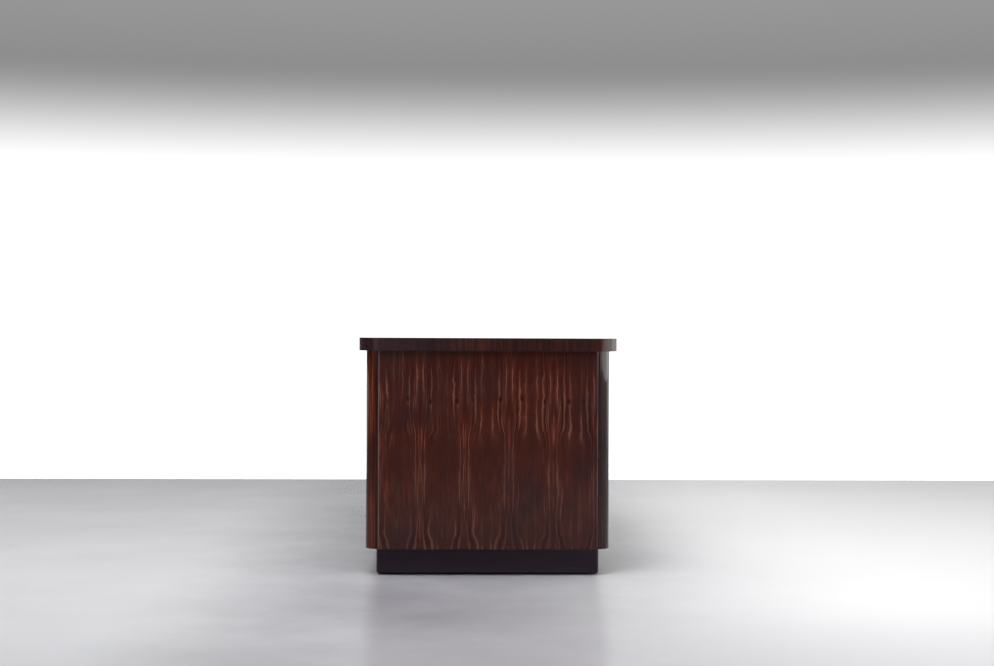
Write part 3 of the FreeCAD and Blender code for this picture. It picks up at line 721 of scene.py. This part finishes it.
def cut_keyhole(piece, front_y, back_y):
    """A round hole for the key's shaft, with a slot below it for the bit."""
    low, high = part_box("escutcheon")
    start = Vector(((low.x + high.x) / 2, front_y, (low.z + high.z) / 2))
    end = Vector((start.x, back_y, start.z))
    cut_out(piece, round_bar("shaft_hole", KEY_SHAFT + KEYHOLE_PLAY, start, end))
    half = X * (BIT_HALF + KEYHOLE_PLAY)
    cut_out(piece, block("bit_slot", start - half - Z * (BIT_REACH + KEYHOLE_PLAY), end + half))


def make_door():
    """The door, let in above and below for its hinge leaves and bored for their pins and the key."""
    low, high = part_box("cupboard_door")
    bore_depth = 0.0062
    door = block("door_board", low, high)
    round_edges(door, 0.001, 3, lambda a, b: True)
    cut_out(door, leaf_blank("hinge_door_leaves", low.z - PAST, low.z + LEAF_DEPTH))
    cut_out(door, leaf_blank("hinge_door_leaves", high.z - LEAF_DEPTH, high.z + PAST))
    cut_out(door, round_bar("bore", PIN + BORE_PLAY, pivot(low.z - PAST), pivot(low.z + bore_depth)))
    cut_out(door, round_bar("bore", PIN + BORE_PLAY, pivot(high.z - bore_depth), pivot(high.z + PAST)))
    cut_keyhole(door, low.y - 0.002, high.y + 0.002)
    smooth(door)
    clothe(door, front_veneer, y_high=lining_z, x_low=side_veneer, x_high=side_veneer)
    settle(door, "door", "macassar_veneer", "cupboard_door")


def slotted_head(seat, way, radius, height):
    """A round screw head standing on its seat, with a slot across it."""

    def on_rim(a, b):
        return all((p - seat).dot(way) > height * 0.9 for p in (a, b))

    head = round_bar("screw", radius, seat, seat + way * height, 32)
    round_edges(head, height * 0.45, 3, on_rim)
    across = Vector((radius * 1.2, radius * 1.2, radius * 1.2))
    across[1 if abs(way.z) else 2] = radius * 0.14
    middle = seat + way * height
    half = Vector([height * 0.5 if abs(turn) else size for turn, size in zip(way, across)])
    cut_out(head, block("slot", middle - half, middle + half))
    return head


def make_screws(node, body, places, way, radius, height, shank, length):
    """Slotted screws with their heads on one plane, all made from the first."""
    first = Vector(places[0])
    head = slotted_head(first, way, radius, height)
    screw = as_one(head, round_bar("shank", shank, first, first - way * length, 16))
    others = [copied(screw, Vector(place) - first) for place in places[1:]]
    screws = as_one(screw, *others)
    screws.name = node + "_slotted"
    smooth(screws, 35)
    clothe(screws, steel)
    settle(screws, body, "steel", node)


def make_hinge_leaves(node, body, bore, *leaves):
    """Both leaves of a node, each with two sunk screws; a leaf is (height of its foot, way it faces)."""
    low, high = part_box(node)
    sink_radius, sink_depth, head_radius, head_height = 0.0032, 0.0009, 0.0030, 0.0010
    pieces = []
    for low_z, way in leaves:
        high_z = low_z + LEAF_DEPTH
        leaf = leaf_blank(node, low_z, high_z)
        round_edges(leaf, 0.00025, 2, lambda a, b: near(a.z, b.z))
        cut_out(leaf, round_bar("bore", bore, pivot(low_z - 0.001), pivot(high_z + 0.001)))
        face_z = high_z if way > 0 else low_z
        for x in (low.x + 0.010, low.x + 0.036):
            seat = Vector((x, (low.y + high.y) / 2, face_z - way * sink_depth))
            cut_out(leaf, round_bar("sink", sink_radius, seat, seat + Z * way * 0.002, 32))
            pieces.append(slotted_head(seat - Z * way * 0.0002, Z * way, head_radius, head_height))
        pieces.append(leaf)
    leaves = as_one(*pieces)
    leaves.name = node + "_pair"
    smooth(leaves, 35)
    clothe(leaves, brass_z)
    settle(leaves, body, "brass", node)


def make_hinge_pins():
    """Each pivot pin, with the washer that carries the door in the gap."""
    low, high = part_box("hinge_pins")
    board_z, rail_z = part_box("right_bottom_board")[1].z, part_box("right_top_board")[0].z
    door_low, door_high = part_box("cupboard_door")
    pin_depth, clear, washer_radius = 0.006, 0.00015, 0.005
    pieces = []
    for start, end, inner, outer in ((low.z, door_low.z + pin_depth, board_z, door_low.z - clear),
                                     (high.z, door_high.z - pin_depth, rail_z, door_high.z + clear)):
        pin = round_bar("pin", PIN, pivot(start), pivot(end), 40)
        round_edges(pin, 0.0005, 2, lambda a, b: near(a.z, end) and near(b.z, end))
        washer = round_bar("washer", washer_radius, pivot(inner), pivot(outer), 40)
        round_edges(washer, 0.0002, 2, lambda a, b: near(a.z, b.z))
        pieces += [pin, washer]
    pins = as_one(*pieces)
    pins.name = "hinge_pins_turned"
    smooth(pins, 35)
    clothe(pins, brass_z)
    settle(pins, "carcass", "brass", "hinge_pins")


def make_escutcheon():
    """A round plate with a raised rim, cut for the key."""
    low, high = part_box("escutcheon")
    centre = (low + high) / 2
    plate = round_bar("escutcheon_plate", (high.x - low.x) / 2, Vector((centre.x, high.y, centre.z)),
                      Vector((centre.x, low.y, centre.z)), 64)
    bpy.ops.object.mode_set(mode="EDIT")
    bpy.ops.mesh.select_mode(type="FACE")
    bpy.ops.mesh.select_all(action="DESELECT")
    mesh = bmesh.from_edit_mesh(plate.data)
    for face in mesh.faces:
        face.select_set(face.normal.y < -0.9)
    bmesh.update_edit_mesh(plate.data)
    bpy.ops.mesh.inset(thickness=0.0013)
    bpy.ops.mesh.inset(thickness=0.0005, depth=-0.0004)
    bpy.ops.object.mode_set(mode="OBJECT")

    def on_rim(a, b):
        return all(near(p.y, low.y) and (p - centre).length > (high.x - low.x) / 2 - 0.0002 for p in (a, b))

    round_edges(plate, 0.0004, 3, on_rim)
    cut_keyhole(plate, low.y - 0.001, high.y + 0.001)
    smooth(plate, 35)
    clothe(plate, brass_z)
    settle(plate, "door", "brass", "escutcheon")


def make_key():
    """The key in its lock: a ring bow, a collar, the shaft and a notched bit."""
    low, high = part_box("lock_key")
    axis_x = (low.x + high.x) / 2
    axis_z = high.z - KEY_BOW
    bow_y = low.y + KEY_BOW
    bow_thickness = 0.0024
    bpy.ops.object.select_all(action="DESELECT")
    bpy.ops.mesh.primitive_torus_add(major_radius=(KEY_BOW + KEY_EYE) / 2, minor_radius=(KEY_BOW - KEY_EYE) / 2,
                                     major_segments=64, minor_segments=20, location=(axis_x, bow_y, axis_z),
                                     rotation=(0, math.radians(90), 0))
    bow = bpy.context.object
    bow.name = "key_in_lock"
    bpy.ops.object.transform_apply(location=False, rotation=True, scale=True)
    bow.scale.x = bow_thickness / (KEY_BOW - KEY_EYE)
    bpy.ops.object.transform_apply(location=True, rotation=True, scale=True)

    def along(y):
        return Vector((axis_x, y, axis_z))

    shaft = round_bar("shaft", KEY_SHAFT, along(bow_y + 0.0045), along(high.y), 32)
    round_edges(shaft, 0.0004, 2, lambda a, b: near(a.y, high.y) and near(b.y, high.y))
    collar = round_bar("collar", 0.0030, along(bow_y + KEY_BOW - 0.0002), along(bow_y + KEY_BOW + 0.0016), 32)
    round_edges(collar, 0.0006, 3, lambda a, b: near(a.y, b.y))
    bolt_low, bolt_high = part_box("lock_bolt")
    bit_low, bit_high = (axis_x - BIT_HALF, bolt_low.y, low.z), (axis_x + BIT_HALF, bolt_high.y, axis_z)
    bit = block("bit", Vector(bit_low), Vector(bit_high))
    notch = (bolt_low.y + bolt_high.y) / 2
    cut_out(bit, block("notch", Vector((axis_x - 0.002, notch - 0.0006, low.z - 0.001)),
                       Vector((axis_x + 0.002, notch + 0.0006, low.z + 0.0025))))
    key = as_one(bow, shaft, collar, bit)
    smooth(key, 35)
    clothe(key, brass_z)
    settle(key, "key", "brass", "lock_key")


def make_shelf_pins():
    """Four round pins with their ends turned soft."""
    low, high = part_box("shelf_pins")
    radius, length = (high.z - low.z) / 2, 0.020
    start = Vector((low.x, low.y + radius, low.z + radius))
    pin = round_bar("shelf_pins_turned", radius, start, start + X * length, 32)
    round_edges(pin, 0.0010, 3, lambda a, b: near(a.x, b.x))
    across, along = X * (high.x - low.x - length), Y * (high.y - low.y - radius * 2)
    pins = as_one(pin, copied(pin, across), copied(pin, along), copied(pin, across + along))
    smooth(pins, 35)
    clothe(pins, brass_z)
    settle(pins, "carcass", "brass", "shelf_pins")


def make_glides():
    """A soft round pad under each corner block."""
    low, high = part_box("floor_glides")
    radius = 0.0125
    inner_x = 0.392
    start = Vector((low.x + radius, low.y + radius, low.z))
    pad = round_bar("floor_glide_pads", radius, start, start + Z * (high.z - low.z), 40)
    round_edges(pad, 0.0009, 3, lambda a, b: near(a.z, low.z) and near(b.z, low.z))
    places = [(x, y) for x in (start.x, -inner_x, inner_x, -start.x) for y in (start.y, -start.y)]
    moves = [Vector((x - start.x, y - start.y, 0)) for x, y in places[1:]]
    pads = as_one(pad, *[copied(pad, move) for move in moves])
    smooth(pads, 35)
    clothe(pads, glide_finish)
    settle(pads, "carcass", "glide_felt", "floor_glides")


def paint_nodes(finish, *nodes):
    """Gives CAD pieces that keep their own shape their finish."""
    for node in nodes:
        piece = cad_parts[node]
        for slot in piece.material_slots:
            slot.material = finish
        if not piece.material_slots:
            piece.data.materials.append(finish)


make_top()
for side in ("left", "right"):
    for face in ("front", "back"):
        make_post(f"{face}_{side}_post")
    make_end_panel(side + "_end_panel")
    make_plinth(side + "_plinth")
    inside, outside = ("x_low", "x_high") if side == "left" else ("x_high", "x_low")
    board(side + "_inner_side", "carcass", 0.0008, side_veneer, **{inside: lining_z}, y_low=front_veneer)
    board(side + "_back_panel", "carcass", 0.0008, front_veneer,
          y_low=lining_z, x_low=side_veneer, x_high=side_veneer)
    hung = side == "right"
    board(side + "_top_board", "carcass", 0.0008, front_veneer, z_low=lining_x, z_high=core_x,
          let_in=(CUPBOARD_CEILING - PAST, CUPBOARD_CEILING + LEAF_DEPTH) if hung else None)
    board(side + "_bottom_board", "carcass", 0.0008, front_veneer, z_low=core_x, z_high=lining_x,
          let_in=(CUPBOARD_FLOOR - LEAF_DEPTH, CUPBOARD_FLOOR + PAST) if hung else None)
board("modesty_panel", "carcass", 0.0008, front_veneer)
board("kneehole_rail", "carcass", 0.0008, front_veneer, z_low=lining_x, z_high=core_x)
board("shelf", "carcass", 0.0012, lining_x, slot="lining_wood")

for drawer in ("drawer_1", "drawer_2", "drawer_3", "centre_drawer"):
    make_front(drawer + "_front", drawer)
    make_pull(drawer + "_pull", drawer)
    make_drawer_box(drawer)
make_door()
make_pull("door_pull", "door", upright=True)
make_hinge_leaves("hinge_frame_leaves", "carcass", PIN, (CUPBOARD_FLOOR - LEAF_DEPTH, 1), (CUPBOARD_CEILING, -1))
make_hinge_leaves("hinge_door_leaves", "door", PIN + BORE_PLAY, (CUPBOARD_FLOOR + LEAF_GAP, -1),
                  (CUPBOARD_CEILING - LEAF_GAP - LEAF_DEPTH, 1))
make_hinge_pins()
make_escutcheon()
make_key()
make_screws("lock_screws", "door", LOCK_SCREW_PLACES, Y, *LOCK_SCREW)
make_screws("top_screws", "carcass", TOP_SCREW_PLACES, -Z, *TOP_SCREW)
make_shelf_pins()
make_glides()

paint_nodes(lining_z, "left_outer_side", "right_outer_side")
paint_nodes(core_y, "end_battens", "drawer_runners", "stop_blocks")
paint_nodes(core_z, "plinth_corner_blocks")
paint_nodes(steel, "lock_case", "lock_bolt", "keeper")


# Room

def make_floor():
    """A pale polished floor with a mottled tone and painted light and shade: paler to each side, darker along and
    beyond the desk and far behind it, with white ground all round it.
    """
    bpy.ops.object.select_all(action="DESELECT")
    bpy.ops.mesh.primitive_plane_add(size=1, location=(9.72, 0, 0))
    floor = bpy.context.object
    floor.name = "floor"
    floor.scale = (24.56, 40, 1)
    bpy.ops.object.transform_apply(location=True, rotation=True, scale=True)
    pale = Finish("pale_floor", roughness=0.25, specular=0.5)
    clouds = pale.noise(pale.place, scale=1.4, detail=6, roughness=0.6)
    colour = pale.ramp(clouds, (0.22, (0.168, 0.165, 0.183)), (0.78, (0.314, 0.310, 0.334)))
    # Painted light: the floor is mixed paler towards +Y and, below, towards -Y, leaving the band along the desk at
    # its darker mottled tone, a painted shade.
    right = pale.fit(pale.y, -0.22, 1.4, 0.0, 0.88, "SMOOTHSTEP")
    colour = pale.mix(right, colour, (0.840, 0.836, 0.844))
    left = pale.fit(pale.y, -0.45, -1.1, 0.0, 0.55, "SMOOTHSTEP")
    colour = pale.mix(left, colour, (0.600, 0.597, 0.613))
    # Painted reflection: darker beyond the desk's +X end on the -Y half, standing in for the desk's dark reflection
    # in the floor.
    painted_desk_reflection = pale.fit(pale.x, 1.3, 2.5, 0.0, 0.44, "SMOOTHSTEP")
    painted_desk_reflection = pale.times(painted_desk_reflection, pale.fit(pale.y, -0.9, -0.1))
    colour = pale.mix(painted_desk_reflection, colour, (0.420, 0.415, 0.440))
    # Painted shade: darker towards -X on the -Y side, far behind the desk.
    painted_shade_far_left = pale.fit(pale.x, 1.0, -2.4, 0.0, 0.33)
    painted_shade_far_left = pale.times(painted_shade_far_left, pale.fit(pale.y, 0.2, -0.8, 0.0, 1.0, "SMOOTHSTEP"))
    colour = pale.mix(painted_shade_far_left, colour, (0.070, 0.069, 0.073))
    clothe(floor, pale.finish(colour))
    white = Finish("white_ground", roughness=0.9)
    white.surface.inputs["Base Color"].default_value = (0.9, 0.9, 0.9, 1)
    white.surface.inputs["Emission Color"].default_value = (1, 1, 1, 1)
    white.surface.inputs["Emission Strength"].default_value = 1.0
    far, edge, back_edge, film = 60.0, 3.4, -2.56, 0.0002
    for name, low_x, low_y, high_x, high_y in (("back", back_edge - 20, -20, back_edge, 20),
                                               ("farther_back", -far, -far, back_edge, far),
                                               ("front", back_edge, -far, far, -edge),
                                               ("behind", back_edge, edge, far, far),
                                               ("end", edge, -edge, far, edge)):
        bpy.ops.object.select_all(action="DESELECT")
        height = 0.0 if name == "back" else film
        bpy.ops.mesh.primitive_plane_add(size=1, location=((low_x + high_x) / 2, (low_y + high_y) / 2, height))
        ground = bpy.context.object
        ground.name = "white_ground_" + name
        ground.scale = (high_x - low_x, high_y - low_y, 1)
        bpy.ops.object.transform_apply(location=True, rotation=True, scale=True)
        if name != "back":
            ground.visible_glossy = ground.visible_diffuse = ground.visible_shadow = False
        clothe(ground, white.material)


def light_room():
    """Bright low down behind the desk and to its right, dim on the camera's side, with soft boxes overhead."""
    world = bpy.data.worlds.new("room")
    bpy.context.scene.world = world
    world.use_nodes = True
    tree = world.node_tree
    way = tree.nodes.new("ShaderNodeTexCoord").outputs["Generated"]
    split = tree.nodes.new("ShaderNodeSeparateXYZ")
    tree.links.new(way, split.inputs[0])

    def eased(value, start, end, low, high):
        node = tree.nodes.new("ShaderNodeMapRange")
        node.interpolation_type = "SMOOTHSTEP"
        tree.links.new(value, node.inputs["Value"])
        for socket, number in zip(("From Min", "From Max", "To Min", "To Max"), (start, end, low, high)):
            node.inputs[socket].default_value = number
        return node.outputs["Result"]

    def joined(operation, a, b):
        node = tree.nodes.new("ShaderNodeMath")
        node.operation = operation
        tree.links.new(a, node.inputs[0])
        tree.links.new(b, node.inputs[1])
        return node.outputs[0]

    # Each glow: its middle, the cosines where it starts and is whole, its strength, and the heights it fades between
    total = eased(split.outputs[2], 0.03, 0.25, 0.08, 0.26)
    for aim, start, end, strength, low, high in (((-0.85, 0.53, 0.0), 0.50, 0.68, 1.12, 0.07, 0.15),
                                                 ((0.25, 0.97, 0.0), 0.50, 1.0, 2.6, 0.02, 0.09),
                                                 ((0.946, -0.325, 0.0), 0.93, 1.0, 0.5, 0.10, 0.20)):
        dot = tree.nodes.new("ShaderNodeVectorMath")
        dot.operation = "DOT_PRODUCT"
        dot.inputs[1].default_value = aim
        tree.links.new(way, dot.inputs[0])
        glow = eased(dot.outputs["Value"], start, end, 0.0, strength)
        total = joined("ADD", total, joined("MULTIPLY", glow, eased(split.outputs[2], low, high, 1.0, 0.08)))
    tree.links.new(total, tree.nodes["Background"].inputs["Strength"])
    tree.nodes["Background"].inputs["Color"].default_value = (1, 1, 1, 1)

    def soft_box(name, place, aim, size, power):
        bpy.ops.object.light_add(type="AREA", location=place)
        lamp = bpy.context.object
        lamp.name = name
        lamp.data.shape = "RECTANGLE"
        lamp.data.size, lamp.data.size_y = size
        lamp.data.energy = power
        lamp.visible_glossy = False
        lamp.rotation_euler = (Vector(aim) - Vector(place)).to_track_quat("-Z", "Y").to_euler()

    soft_box("overhead", (0.2, 0.3, 3.6), (0.2, 0.1, 0), (3.6, 3.5), 90)
    soft_box("right_window", (1.6, 4.6, 1.6), (0.8, 0, 0.3), (3.4, 2.4), 50)
    soft_box("sitter_side", (-0.5, -3.6, 2.8), (0, 0, 0.3), (3.0, 2.0), 75)
    soft_box("over_the_end", (1.6, -0.3, 3.6), (1.2, 0, 0.2), (1.4, 1.8), 150)


make_floor()
light_room()
